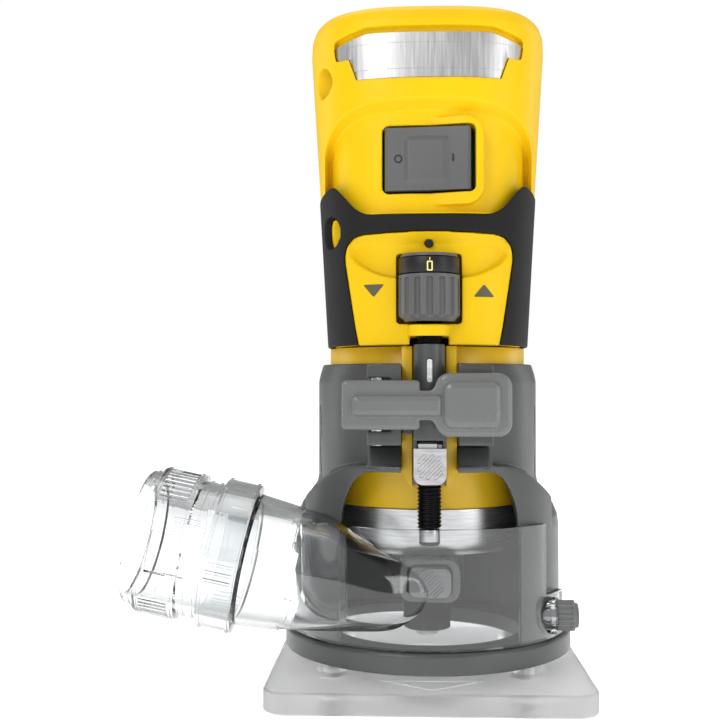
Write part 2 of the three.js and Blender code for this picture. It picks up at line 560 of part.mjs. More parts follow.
/** Yellow lower panel with the bay that holds the depth knob. */
function frontPanel() {
  const body = housingBody(0, housing[0][0], 160);
  const face = alongY(panelOutline(0), -60, panelBack).intersect(body).subtract(housingBody(wall.lower, 110, 160));
  const bayBlock = block([-13.4, 13.4], [-39, -27], [119.5, 149.6]);
  const notch = block([-6.4, 6.4], [-60, -30], [110, 119.5]);
  const opening = block([-bay.half, bay.half], [-60, bay.back], [bay.bottom, bay.top]);
  const bridge = alongZ(roundedRect(-7, 7, -46.4, -30, 5), 119.6, bay.bottom - 0.3);
  return union([face, bayBlock]).subtract(opening).subtract(notch).add(bridge)
    .subtract(alongZ(circle(rod.r + 0.4, round.medium, 0, rod.y), 100, 147))
    .subtract(alongY(circle(1.5, round.coarse, 0, 150.2), -60, -38));
}

const indexDot = () => alongY(circle(1.15, round.coarse, 0, 150.2), -41.3, -38.4);

function depthKnob() {
  const flutes = Array.from({ length: 15 }, (_, i) =>
    alongZ(circle(0.9, 8, knob.r * Math.cos(radians(24 * i)), rod.y + knob.r * Math.sin(radians(24 * i))),
      knob.bottom - 1, knob.gripTop - 1.4));
  const body = turned([[0, knob.bottom], [knob.r - 2, knob.bottom], [knob.r, knob.bottom + 2], [knob.r, knob.gripTop],
    [knob.hub, knob.gripTop], [knob.hub, knob.ringTop], [0, knob.ringTop]], round.medium).translate([0, rod.y, 0]);
  return body.subtract(union(flutes)).subtract(alongZ(circle(rod.r + gap, round.medium, 0, rod.y), 100, 160));
}

const scaleRing = () => washer(knob.hub + gap, knob.r - 0.2, knob.gripTop + gap, knob.ringTop, round.medium)
  .translate([0, rod.y, 0]);
const knobCap = () => turned([[0, knob.ringTop + gap], [knob.r - 0.5, knob.ringTop + gap], [knob.r - 0.9, knob.top], [0, knob.top]],
  round.medium)
  .translate([0, rod.y, 0]);
const depthRod = () => turned([[0, rod.bottom], [2.6, rod.bottom], [3.4, rod.bottom + 0.8], [3.4, rod.journal],
  [rod.r, rod.journal + 0.6], [rod.r, rod.top], [0, rod.top]], round.medium).translate([0, rod.y, 0]);

/** The rocker rests tilted, with its left end pressed in. */
function powerRocker() {
  const { half, face, axisY, tilt, bottom, top } = rocker;
  const plan = [[-half, axisY + 1], [-half, face + 0.5], [-half + 1, face - 0.4], [0, face], [half - 1, face - 0.4],
    [half, face + 0.5], [half, axisY + 1], [6, axisY + 3], [-6, axisY + 3]];
  return alongZ(plan, bottom, top).translate([0, -axisY, 0]).rotate([0, 0, -tilt]).translate([0, axisY, 0])
    .intersect(alongY(roundedRect(-20, 20, bottom, top, 1.6, 3), -60, 0));
}

const namePlate = () => alongY(plateOutline(0), -60, -20).intersect(housingBody(1)).subtract(housingBody(2.2));

const motorEndCap = () => turned([[4.3, 122.3], [4.3, 120.6], [8.3, 120.6], [8.3, 113], [11, 113], [11, 119.5],
  [26.5, 119.5], [26.5, 122.3], [4.3, 122.3]], round.medium);

function heatSink() {
  const base = block([-22, 22], [14, 17], [136, 168]);
  const fins = Array.from({ length: 7 }, (_, i) => block([-21 + 6.5 * i, -19 + 6.5 * i], [8, 14.5], [136, 168]));
  return union([base, ...fins]);
}

/** Socket for the battery's contacts, with five blades standing in it. */
function terminalBlock() {
  const body = block([-12, 12], [38, 43.8], [175.3, 208.7]);
  const blades = Array.from({ length: 5 }, (_, i) => block([-9 + 4 * i, -8 + 4 * i], [43, 49], [181, 200]));
  return union([body, ...blades]);
}

function housingScrew([y, z]) {
  const head = alongX(circle(3.2, round.medium, y, z), -28.5, -25.9);
  return head.add(alongX(circle(1.8, round.coarse, y, z), -26, 22));
}

const shellBody = housingShell().subtract(housingCuts());
const skinBody = rubberSkin();
const halves = { left: block([-70, -gap / 2], [-90, 90], [90, 250]), right: block([gap / 2, 70], [-90, 90], [90, 250]) };

part('motor_sleeve', motorSleeve(), 'yellow');
part('nose_casting', noseCasting(), 'aluminium');
part('lock_bracket', lockBracket(), 'plastic');
part('spindle_lock_button', lockButton(), 'steel');
part('lock_pin', alongY(circle(2.3, round.coarse, 0, lock.z), -37.7, -10), 'steel');
part('lock_spring', washer(3.3, 4.2, 0, 3.6, round.coarse).rotate([90, 0, 0]).translate([0, -27.3, lock.z]), 'steel');
part('front_bearing', washer(6.2, 13, 49.8, 58.6, round.medium), 'steel');
part('rear_bearing', washer(4.1, 8, 113.4, 120.3, round.medium), 'steel');
part('stator_core', statorCore(), 'blackSteel');
part('stator_windings', statorWindings(), 'copper');
part('rotor', washer(4.9, 16.4, 77, 105, round.medium), 'steel');
part('fan', fan(), 'dark');
part('spindle_shaft', spindleShaft(), 'steel');
part('collet', collet(), 'steel');
part('collet_nut', colletNut(), 'blackSteel');
part('motor_end_cap', motorEndCap(), 'dark');
for (const [side, half] of Object.entries(halves)) {
  part(`housing_${side}`, shellBody.intersect(half), 'yellow');
  part(`rubber_grip_${side}`, skinBody.intersect(half), 'rubber');
}
part('front_panel', frontPanel(), 'yellow');
part('index_dot', indexDot(), 'dark');
part('name_plate', namePlate(), 'aluminium');
part('power_rocker', powerRocker(), 'plastic');
part('switch_body', block([-12.5, 12.5], [-29, -8], [169, 187.5]), 'dark');
part('control_board', block([-24, 24], [17.4, 19], [134, 200]), 'board');
part('heat_sink', heatSink(), 'aluminium');
part('battery_terminals', terminalBlock(), 'dark');
housingScrews.forEach((place, i) => part(`housing_screw_${i + 1}`, housingScrew(place), 'steel'));
part('depth_knob', depthKnob(), 'plastic');
part('scale_ring', scaleRing(), 'dark');
part('knob_cap', knobCap(), 'plastic');
part('depth_rod', depthRod(), 'blackSteel');

router.position.set(axisAt.x, axisAt.y, 0);
router.updateMatrixWorld(true);

export default router;
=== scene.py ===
"""Looks of the trim router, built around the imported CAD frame.

Shapes are made in millimetres round the spindle axis, with +Z up and the sole at z = 0, and
place() then scales them to metres and moves them onto the frame.
"""
import json
import math

import bmesh
import bpy
from mathutils import Matrix, Vector


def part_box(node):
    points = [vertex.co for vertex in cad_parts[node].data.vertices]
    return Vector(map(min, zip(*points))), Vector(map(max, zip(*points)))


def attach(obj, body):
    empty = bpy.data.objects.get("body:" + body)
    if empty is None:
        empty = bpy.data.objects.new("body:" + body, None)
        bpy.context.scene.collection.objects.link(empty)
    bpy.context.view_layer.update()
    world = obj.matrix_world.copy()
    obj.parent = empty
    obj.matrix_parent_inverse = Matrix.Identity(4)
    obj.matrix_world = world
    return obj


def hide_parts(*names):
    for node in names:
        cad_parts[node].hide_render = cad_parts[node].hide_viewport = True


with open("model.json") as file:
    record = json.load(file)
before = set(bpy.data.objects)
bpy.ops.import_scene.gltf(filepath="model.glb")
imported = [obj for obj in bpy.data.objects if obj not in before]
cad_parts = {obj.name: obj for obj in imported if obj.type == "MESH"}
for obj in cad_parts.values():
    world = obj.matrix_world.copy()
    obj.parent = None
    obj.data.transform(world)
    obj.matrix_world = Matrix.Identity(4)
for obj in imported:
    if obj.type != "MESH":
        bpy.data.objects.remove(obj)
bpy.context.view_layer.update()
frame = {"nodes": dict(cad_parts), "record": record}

MM = 0.001


def middle_of(node):
    low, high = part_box(node)
    return (low + high) / 2


axis = middle_of("rotor")
TO_FRAME = Matrix.Translation((axis.x, axis.y, 0)) @ Matrix.Scale(MM, 4)

# ------------------------------------------------------------------ driving sizes, millimetres

GAP = 0.3
RING = {"outer": 50.8, "inner": 33.0, "bottom": 11.9, "top": 19.0}
TUBE = {"radius": 34.85, "bottom": 62.7, "top": 116.6}
COLLAR = {"outer": 39.0, "bore": 35.15, "bottom": 70.0, "chamfer": 105.0, "top": 111.0, "split": 9.2}
EARS = {"outer": 20.0, "web": 3.0, "front": -50.6, "bottom": 84.5, "top": 110.5}
PIVOT = (-16.7, -48.0)
ROD_Y = -40.5
LOCK_Z = 39.5
SEAT_Y = 44.0
THUMB = {"y": -26.0, "z": 26.5, "seat": 42.4, "r": 5.1, "length": 7.2}
PORT = {"x": -45.1, "y": -38.0, "z": 43.6, "tilt": 11.8}
SHIELD = {"inner": 47.1, "outer": 49.4, "bottom": 19.3, "top": 57.7}
KNOB = {"r": 10.0, "bottom": 124.4, "grip": 139.5, "ring": 144.9, "top": 146.2, "hub": 6.0}
ROCKER = {"half": 14.2, "bottom": 167.8, "top": 188.6, "face": -39.6, "axis_y": -35.0, "tilt": 6.0}
BOSS_R, RECESS_R = 6.9, 5.1  # housing screw bosses and the recesses in them
SCREWS = [(-27, 206.5), (-27, 155.4), (29, 206.5), (29, 152), (25, 130)]

# height, half width, front and back of the motor housing
HOUSING = [
    (116.9, 35.0, 40.6, 37.0),
    (150.0, 36.9, 41.2, 39.0),
    (172.0, 38.2, 41.6, 46.0),
    (219.5, 41.2, 42.0, 46.0),
    (224.0, 41.0, 41.8, 45.8),
    (227.0, 40.0, 40.8, 44.8),
    (228.8, 38.3, 39.1, 43.1),
    (229.5, 36.2, 37.0, 41.0),
]
SQUARENESS = 2.9

# ------------------------------------------------------------------ outlines


def arc(r, start, end, steps, cx=0.0, cy=0.0):
    angles = [math.radians(start + (end - start) * i / steps) for i in range(steps + 1)]
    return [(cx + r * math.cos(a), cy + r * math.sin(a)) for a in angles]


def circle(r, steps=64, cx=0.0, cy=0.0):
    return arc(r, 0, 360, steps, cx, cy)[1:]


def sector(inner, outer, start, end, steps=48):
    return arc(outer, start, end, steps) + arc(inner, end, start, steps)


def rounded(x0, x1, y0, y1, r, steps=8):
    corners = [(x1 - r, y0 + r, -90), (x1 - r, y1 - r, 0), (x0 + r, y1 - r, 90), (x0 + r, y0 + r, 180)]
    return [p for cx, cy, start in corners for p in arc(r, start, start + 90, steps, cx, cy)]


def soft_corners(corners, steps=6):
    """A polygon of (a, b, radius) corners, each drawn as a smooth curve of about that radius."""
    points = []
    for i, (a, b, r) in enumerate(corners):
        here = Vector((a, b))
        before = Vector(corners[i - 1][:2]) - here
        after = Vector(corners[(i + 1) % len(corners)][:2]) - here
        if r == 0:
            points.append((a, b))
            continue
        start = here + before.normalized() * min(r, 0.45 * before.length)
        end = here + after.normalized() * min(r, 0.45 * after.length)
        for k in range(steps + 1):
            t = k / steps
            points.append(tuple(start * (1 - t) ** 2 + here * 2 * t * (1 - t) + end * t * t))
    return points


def stadium(length, width, cx, cy):
    """A slot shape lying at 45 degrees."""
    ends = arc(width / 2, -90, 90, 8, length / 2, 0) + arc(width / 2, 90, 270, 8, -length / 2, 0)
    c = math.sqrt(0.5)
    return [(cx + c * (a - b), cy + c * (a + b)) for a, b in ends]


# ------------------------------------------------------------------ solids


def mesh_object(name, verts, faces):
    mesh = bpy.data.meshes.new(name)
    mesh.from_pydata([tuple(v) for v in verts], [], faces)
    bm = bmesh.new()
    bm.from_mesh(mesh)
    bmesh.ops.remove_doubles(bm, verts=bm.verts, dist=1e-5)
    bmesh.ops.recalc_face_normals(bm, faces=bm.faces)
    bm.to_mesh(mesh)
    bm.free()
    obj = bpy.data.objects.new(name, mesh)
    bpy.context.scene.collection.objects.link(obj)
    return obj


def extruded(outline, low, high, along="z"):
    """An outline drawn across one axis: (y, z) along x, (x, z) along y, (x, y) along z."""
    n = len(outline)
    put = {
        "x": lambda a, b, t: (t, a, b),
        "y": lambda a, b, t: (a, t, b),
        "z": lambda a, b, t: (a, b, t),
    }[along]
    verts = [put(a, b, t) for t in (low, high) for a, b in outline]
    sides = [(i, (i + 1) % n, n + (i + 1) % n, n + i) for i in range(n)]
    return mesh_object("solid", verts, sides + [tuple(range(n)), tuple(range(n, 2 * n))])


def block(x, y, z):
    return extruded([(x[0], y[0]), (x[1], y[0]), (x[1], y[1]), (x[0], y[1])], *z)


def lofted(sections):
    n = len(sections[0])
    verts = [p for section in sections for p in section]
    last = (len(sections) - 1) * n
    faces = [
        (row + i, row + (i + 1) % n, row + n + (i + 1) % n, row + n + i)
        for row in range(0, last, n)
        for i in range(n)
    ]
    return mesh_object("solid", verts, faces + [tuple(range(n)), tuple(range(last, last + n))])


def turned(profile, steps=96):
    """A closed (r, z) profile turned about Z. Its ends may lie on the axis."""
    rows = [[(r * math.cos(a), r * math.sin(a), z) for r, z in profile]
            for a in (2 * math.pi * i / steps for i in range(steps))]
    n = len(profile)
    verts = [p for row in rows for p in row]
    faces = []
    for i in range(steps):
        a, b = i * n, ((i + 1) % steps) * n
        for k in range(n):
            m = (k + 1) % n
            if profile[k][0] == 0 and profile[m][0] == 0:
                continue
            if profile[k][0] == 0:
                faces.append((a + k, a + m, b + m))
            elif profile[m][0] == 0:
                faces.append((a + k, a + m, b + k))
            else:
                faces.append((a + k, a + m, b + m, b + k))
    return mesh_object("solid", verts, faces)


def pillow(x, z, r, back, front, slope):
    """A raised pad that faces forward, with sloped edges."""
    levels = [(0, back), (0, front + 0.8 * slope), (0.3 * slope, front + 0.3 * slope), (slope, front)]
    return lofted([[(a, y, b) for a, b in rounded(x[0] + i, x[1] - i, z[0] + i, z[1] - i, max(r - i, 0.3))]
                   for i, y in levels])


def moved(obj, matrix):
    obj.data.transform(matrix)
    return obj


def bake(obj):
    """Replaces the object's mesh by what its modifiers make of it."""
    graph = bpy.context.evaluated_depsgraph_get()
    mesh = bpy.data.meshes.new_from_object(obj.evaluated_get(graph))
    obj.modifiers.clear()
    obj.data = mesh
    return obj


def combine(obj, tools, operation):
    for tool in tools:
        modifier = obj.modifiers.new("combine", "BOOLEAN")
        modifier.operation = operation
        modifier.solver = "MANIFOLD"
        modifier.object = tool
    bake(obj)
    for tool in tools:
        bpy.data.objects.remove(tool)
    return obj


def joined(obj, *tools):
    return combine(obj, tools, "UNION")


def cut(obj, *tools):
    return combine(obj, tools, "DIFFERENCE")


def kept(obj, *tools):
    return combine(obj, tools, "INTERSECT")


def copy_of(obj):
    twin = bpy.data.objects.new(obj.name, obj.data.copy())
    bpy.context.scene.collection.objects.link(twin)
    return twin


def softened(obj, voxel, passes=5):
    """Rounds every edge, as a moulding or a casting has them."""
    remesh = obj.modifiers.new("remesh", "REMESH")
    remesh.mode = "VOXEL"
    remesh.voxel_size = voxel
    remesh.use_smooth_shade = True
    smooth = obj.modifiers.new("smooth", "SMOOTH")
    smooth.factor = 0.5
    smooth.iterations = passes
    return bake(obj)


def bevelled(obj, width, segments=2, angle=32):
    """Small rounds on the sharp edges of a cleanly meshed part."""
    modifier = obj.modifiers.new("bevel", "BEVEL")
    modifier.width = width
    modifier.segments = segments
    modifier.limit_method = "ANGLE"
    modifier.angle_limit = math.radians(angle)
    return bake(obj)


# ------------------------------------------------------------------ materials


def new_material(name):
    material = bpy.data.materials.new(name)
    material.use_nodes = True
    tree = material.node_tree
    return material, tree, tree.nodes["Principled BSDF"]


def noise(tree, scale, detail=3.0, stretch=(1, 1, 1)):
    coords = tree.nodes.new("ShaderNodeTexCoord")
    mapping = tree.nodes.new("ShaderNodeMapping")
    mapping.inputs["Scale"].default_value = stretch
    texture = tree.nodes.new("ShaderNodeTexNoise")
    texture.inputs["Scale"].default_value = scale
    texture.inputs["Detail"].default_value = detail
    tree.links.new(coords.outputs["Object"], mapping.inputs["Vector"])
    tree.links.new(mapping.outputs["Vector"], texture.inputs["Vector"])
    return texture.outputs["Fac"]


def ramp(tree, value, stops):
    node = tree.nodes.new("ShaderNodeValToRGB")
    elements = node.color_ramp.elements
    elements[0].position, elements[0].color = stops[0][0], (*stops[0][1], 1)
    elements[1].position, elements[1].color = stops[1][0], (*stops[1][1], 1)
    tree.links.new(value, node.inputs["Fac"])
    return node.outputs["Color"]


def levels(tree, value, low, high):
    node = tree.nodes.new("ShaderNodeMapRange")
    node.inputs["To Min"].default_value = low
    node.inputs["To Max"].default_value = high
    tree.links.new(value, node.inputs["Value"])
    return node.outputs["Result"]


def bump(tree, shader, height, strength, distance):
    node = tree.nodes.new("ShaderNodeBump")
    node.inputs["Strength"].default_value = strength
    node.inputs["Distance"].default_value = distance
    tree.links.new(height, node.inputs["Height"])
    tree.links.new(node.outputs["Normal"], shader.inputs["Normal"])


def moulded(name, colour, roughness, grain=1400, depth=0.00004, metallic=0.0, specular=0.4):
    """Plastic, rubber or paint: slight colour drift, a fine moulded grain, uneven gloss."""
    material, tree, shader = new_material(name)
    dark = tuple(0.9 * c for c in colour)
    mottle = ramp(tree, noise(tree, 28, 5), [(0.35, dark), (0.65, colour)])
    tree.links.new(mottle, shader.inputs["Base Color"])
    spread = levels(tree, noise(tree, 90, 4), roughness - 0.05, roughness + 0.06)
    tree.links.new(spread, shader.inputs["Roughness"])
    shader.inputs["Metallic"].default_value = metallic
    shader.inputs["Specular IOR Level"].default_value = specular
    bump(tree, shader, noise(tree, grain, 2), 0.35, depth)
    return material


def machined(name, colour, roughness, stretch, scale=160, depth=0.00003):
    """Bare metal with fine lines that run along the stretched direction."""
    material, tree, shader = new_material(name)
    lines = noise(tree, scale, 4, stretch)
    dark = tuple(0.72 * c for c in colour)
    tree.links.new(ramp(tree, lines, [(0.3, dark), (0.7, colour)]), shader.inputs["Base Color"])
    tree.links.new(levels(tree, lines, roughness - 0.08, roughness + 0.1), shader.inputs["Roughness"])
    shader.inputs["Metallic"].default_value = 1.0
    bump(tree, shader, lines, 0.3, depth)
    return material


def clear_plastic(name, tint, roughness, ior=1.46, transmission=1.0, painted_edge_shade=0.1):
    """Clear or frosted polycarbonate, with faint flow marks from moulding and painted shade: its colour
    darkens towards grazing angles to draw dark edges.
    """
    material, tree, shader = new_material(name)
    # painted shade: the colour runs from the tint to a dark tone where the surface turns away from view
    grazing = tree.nodes.new("ShaderNodeLayerWeight")
    grazing.inputs["Blend"].default_value = 0.4
    edge = tuple(painted_edge_shade * c for c in tint)
    shade = ramp(tree, grazing.outputs["Facing"], [(0.3, tint), (0.95, edge)])
    tree.links.new(shade, shader.inputs["Base Color"])
    shader.inputs["Transmission Weight"].default_value = transmission
    shader.inputs["IOR"].default_value = ior
    marks = noise(tree, 22, 2)
    tree.links.new(levels(tree, marks, roughness, roughness + 0.03), shader.inputs["Roughness"])
    bump(tree, shader, marks, 0.12, 0.0003)
    return material


YELLOW = moulded("yellow_shell", (0.83, 0.53, 0.004), 0.4, specular=0.16)
YELLOW_TUBE = moulded("yellow_tube", (0.80, 0.50, 0.010), 0.34, grain=500)
RUBBER = moulded("rubber", (0.013, 0.013, 0.013), 0.6, grain=2200, depth=0.00008, specular=0.15)
CASTING = moulded("grey_casting", (0.080, 0.084, 0.084), 0.36, grain=900, depth=0.00006, metallic=0.25)
GREY = moulded("grey_plastic", (0.155, 0.158, 0.158), 0.26)
DARK_GREY = moulded("dark_grey_plastic", (0.105, 0.105, 0.107), 0.4)
BLACK = moulded("black_plastic", (0.006, 0.006, 0.007), 0.42)
MARK = moulded("mark_paint", (0.09, 0.085, 0.05), 0.5)
DIGIT = moulded("digit_paint", (0.85, 0.75, 0.25), 0.5)
STEEL = machined("steel", (0.60, 0.60, 0.61), 0.3, (1, 1, 6))
# a rougher steel whose colour is also darkened as painted shade, for the lock button that sits dim behind the
# clear shroud
SHADED_STEEL = machined("steel_painted_shade", (0.26, 0.26, 0.265), 0.4, (1, 1, 6))
# near-white steel used as a painted highlight in the nut post's slot
HIGHLIGHT_STEEL = machined("steel_painted_highlight", (0.92, 0.92, 0.92), 0.5, (1, 1, 6))
BLACK_STEEL = machined("black_steel", (0.02, 0.02, 0.022), 0.38, (1, 1, 5))
ALUMINIUM = machined("aluminium", (0.74, 0.74, 0.75), 0.36, (1, 1, 12))
BRUSHED = machined("brushed_plate", (0.68, 0.68, 0.69), 0.42, (14, 1, 0.6), scale=110)
COPPER = machined("copper", (0.55, 0.24, 0.1), 0.4, (4, 4, 1))
BOARD = moulded("board", (0.015, 0.10, 0.04), 0.45)
# both clear finishes carry painted shade at grazing angles, strong on the clear parts and light on the
# frosted sole
CLEAR = clear_plastic("clear", (0.90, 0.915, 0.92), 0.02, ior=1.5, painted_edge_shade=0.05)
FROSTED = clear_plastic("frosted_clear", (0.96, 0.96, 0.965), 0.3, ior=1.3, transmission=0.85, painted_edge_shade=0.85)

# ------------------------------------------------------------------ putting pieces in place


def place(obj, name, body, material, slot, replaces=(), angle=35):
    """Names a finished solid, moves it onto the frame and says what it rides on and replaces."""
    obj.name = obj.data.name = name
    obj.data.transform(TO_FRAME)
    obj.data.materials.clear()
    obj.data.materials.append(material)
    obj.data.set_sharp_from_angle(angle=math.radians(angle))
    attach(obj, body)
    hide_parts(*replaces)
    return obj


# ------------------------------------------------------------------ housing


def section_at(z):
    for low, high in zip(HOUSING, HOUSING[1:]):
        if z <= high[0]:
            break
    t = min(max((z - low[0]) / (high[0] - low[0]), 0), 1)
    return [a + (b - a) * t for a, b in zip(low, high)]


def housing_body(inset, low=HOUSING[0][0], high=None, steps=128):
    """The housing's outer form between two heights, drawn in by an inset."""
    high = HOUSING[-1][0] - inset if high is None else high
    heights = sorted({low, high} | {z for z, *_ in HOUSING if low + 0.5 < z < high - 0.5})
    power = 2 / SQUARENESS
    sections = []
    for z in heights:
        _, half, front, back = section_at(z + (inset if z > 215 else 0))
        sections.append([
            (math.copysign(abs(c) ** power, c) * (half - inset),
             math.copysign(abs(s) ** power, s) * ((back if s > 0 else front) - inset), z)
            for c, s in circle(1, steps)
        ])
    return lofted(sections)


RUBBER_ZONE = soft_corners([
    (-60, 167, 0), (-38.5, 168, 0), (-32, 171, 2), (-22.4, 159.7, 5), (22.4, 159.7, 5), (32, 171, 2),
    (38.5, 168, 0), (60, 167, 0), (60, 100, 0), (-60, 100, 0)])
DECK_Y = -38.4  # plane of the switch deck
BROW_STEPS, BROW_STEP = 10, 0.34  # cuts that form the slope under the brow, and the depth of each
HOLLOW_STEPS, HOLLOW_STEP = 8, 0.3  # the same for the hollow above the knob


def brow_zone(t):
    """Outline of the recess round the switch at a depth t of the slope under the brow, from 0 to 1."""
    w = 35.5 - 1.5 * t
    half = [(w, 186 - 2.4 * t, 6), (0.82 * w, 194.2 - 3 * t, 6), (0.5 * w, 197.4 - 3.3 * t, 6)]
    mirrored = [(-x, z, r) for x, z, r in reversed(half)]
    return soft_corners([(-w, 160.4, 0), (w, 160.4, 0), *half, (0, 198.2 - 3.4 * t, 4), *mirrored])


def panel_zone(grow=0.0):
    right = [(24 + grow, 120.7, 4), (28.2 + grow, 147.5, 4), (25.3 + grow, 153.2 + grow, 4)]
    left = [(-x, z, r) for x, z, r in reversed(right)]
    return soft_corners([(-21.5 - grow, 110, 0), (21.5 + grow, 110, 0), *right, (0, 154.2 + grow, 8), *left])


def dish_zone(t):
    """Outline of the hollow above the knob at a depth t of its slopes, from 0 to 1."""
    return soft_corners([(t * 3 - 27.5, 155 - 4.5 * t, 3), (27.5 - t * 3, 155 - 4.5 * t, 3),
                         (27 - 3 * t, 145, 5),
                         (15, 138.5 + t, 6), (-15, 138.5 + t, 6), (3 * t - 27, 145, 5)])


def plate_zone(grow=0.0):
    return [(-23.6 - grow, 204.8 - grow), (23.6 + grow, 204.8 - grow), (26.3 + grow, 212), (30.6 + grow, 212),
            (31.4 + grow, 216.6), (21, 219.6 + grow), (-21, 219.6 + grow), (-31.4 - grow, 216.6),
            (-30.6 - grow, 212), (-26.3 - grow, 212)]


def split_halves(obj, names, *args):
    """Cuts a finished shell at the clamshell's seam and places both halves."""
    seam = 0.004
    right = kept(copy_of(obj), block((seam, 90), (-90, 90), (90, 260)))
    left = kept(obj, block((-90, -seam), (-90, 90), (90, 260)))
    for half, name, node in zip((left, right), names, args[0]):
        place(half, name, "motor", *args[1:], replaces=[node])


def build_housing():
    shell = cut(housing_body(0), housing_body(4.8, 110, 172.2, 64), housing_body(3, 172, 228.8, 64))
    bosses = [kept(extruded(circle(BOSS_R, 32, y, z), -60, 60, "x"), housing_body(0.2)) for y, z in SCREWS]
    liner = cut(kept(block((-38, 38), (-45, -8), (158, 200)), housing_body(0)), housing_body(5.6, 100, 240))
    shell = joined(shell, liner, *bosses)
    deck = kept(extruded(rounded(-23, 23, 161.5, 191.5, 5), -60, DECK_Y, "y"), housing_body(-1))
    shell = cut(shell, deck, block((-60, 60), (SEAT_Y, 60), (160, 240)))
    shell = cut(shell, *[cut(extruded(brow_zone(i / BROW_STEPS), -60, -8, "y"), housing_body(BROW_STEP * i))
                         for i in range(1, BROW_STEPS + 1)])
    guard = extruded(rounded(-17.9, 17.9, 162.9, 192.0, 6), -41.7, -36.5, "y")
    ramp_off = [(-40, -36), (-1, -36), (1, -38.3), (12, -41.8), (12, -60), (-40, -60)]
    guard = cut(guard, extruded(ramp_off, 100, 240))
    rails = []
    for side in (-1, 1):
        for reach, depth in ((21, SEAT_Y - 4), (17, 47.5)):
            span = sorted((side * reach, side * 25))
            rails.append(block(span, (depth, 50), (166, 216)))
    shell = joined(shell, guard, *rails)
    opening = extruded(rounded(-15.3, 15.3, ROCKER["bottom"] - 0.8, ROCKER["top"] + 0.8, 2), -60, -30, "y")
    socket = block((-12.3, 12.3), (35, 60), (175, 209))
    plate = cut(extruded(plate_zone(0.25), -60, -20, "y"), housing_body(2.2))
    rubber = cut(extruded(RUBBER_ZONE, -60, 60, "y"), housing_body(2.1))
    panel = extruded(panel_zone(0.15), -60, -24.8, "y")
    lip = [(-32, 216.6), (-21, 219.8), (21, 219.8), (32, 216.6), (31, 218.8), (21, 221.6), (-21, 221.6),
           (-31, 218.8)]
    lip_groove = cut(extruded(lip, -60, -20, "y"), housing_body(2.2))
    shell = cut(shell, opening, socket, plate, rubber, panel, lip_groove)
    holes = [extruded(circle(2.1, 24, y, z), -60, 24, "x") for y, z in SCREWS]
    recesses = [extruded(circle(RECESS_R, 48, y, z), -60, -25, "x") for y, z in SCREWS]
    slots = [extruded(rounded(-4, 20, 178 + 5.4 * i, 180.4 + 5.4 * i, 1.1), -60, 60, "x") for i in range(4)]
    shell = softened(cut(shell, *holes, *recesses, *slots), 0.42)
    split_halves(shell, ("upper_shell_left", "upper_shell_right"), ("housing_left", "housing_right"), YELLOW,
                 "yellow_shell")


def build_rubber():
    zone = cut(extruded(RUBBER_ZONE, -60, 60, "y"), extruded(panel_zone(0.2), -60, -20, "y"))
    grip = cut(kept(zone, housing_body(-0.35)), housing_body(2.0, 110, 180))
    recesses = [extruded(circle(5.6, 48, y, z), -60, -20, "x") for y, z in SCREWS]
    grip = softened(cut(grip, *recesses, block((-60, 60), (SEAT_Y - 0.2, 60), (100, 240))), 0.36)
    split_halves(grip, ("overmould_left", "overmould_right"), ("rubber_grip_left", "rubber_grip_right"),
                 RUBBER,
                 "rubber")


def build_front_panel():
    face = cut(kept(extruded(panel_zone(), -60, -25, "y"), housing_body(0)), housing_body(4.8, 110, 175))
    bay = block((-13.4, 13.4), (-38.2, -27), (119.5, 149.6))
    panel = joined(face, bay)
    opening = extruded(rounded(-10.7, 10.7, 123.7, 146.9, 1.2), -60, -29.9, "y")
    dish = [cut(extruded(dish_zone(i / HOLLOW_STEPS), -60, -20, "y"), housing_body(HOLLOW_STEP * i))
            for i in range(1, HOLLOW_STEPS + 1)]
    notch = block((-6.4, 6.4), (-60, -30), (100, 119.5))
    panel = cut(panel, opening, notch, *dish)
    bridge = extruded(rounded(-7, 7, -46.4, -30, 5), 119.6, 123.4)
    panel = cut(joined(panel, bridge), extruded(circle(4.4, 48, 0, ROD_Y), 100, 130))
    panel = cut(panel, extruded(circle(1.35, 24, 0, 150.2), -60, -30, "y"))
    place(softened(panel, 0.32), "knob_panel", "motor", YELLOW, "yellow_shell", ["front_panel"])
    dot = extruded(circle(1.2, 24, 0, 150.2), -40.2, -37, "y")
    place(dot, "index_mark", "motor", BLACK, "black_plastic", ["index_dot"])


def build_arrows():
    """Raise and lower arrows beside the depth knob."""
    half, height, mid = 3.5, 4.2, 134.7
    for name, x, sign in (("arrow_lower", -18.2, -1), ("arrow_raise", 18.0, 1)):
        foot, tip = mid - sign * height / 2, mid + sign * height / 2
        outline = soft_corners([(x - half, foot, 0.7), (x + half, foot, 0.7), (x, tip, 0.7)])
        mark = cut(kept(extruded(outline, -60, -20, "y"), housing_body(-0.12)), housing_body(0.5, 110, 160))
        place(mark, name, "motor", MARK, "black_plastic")


def build_name_plate():
    plate = cut(kept(extruded(plate_zone(), -60, -20, "y"), housing_body(0.9)), housing_body(2.0))
    lines = [[(-34, z - 0.14), (34, z - 0.14), (34, z + 0.14), (-34, z + 0.14)] for z in (207.6, 216.2)]
    grooves = [cut(extruded(line, -60, -20, "y"), housing_body(1.05)) for line in lines]
    place(bevelled(cut(plate, *grooves), 0.12, 1), "brushed_name_plate", "motor", BRUSHED, "aluminium",
          ["name_plate"])


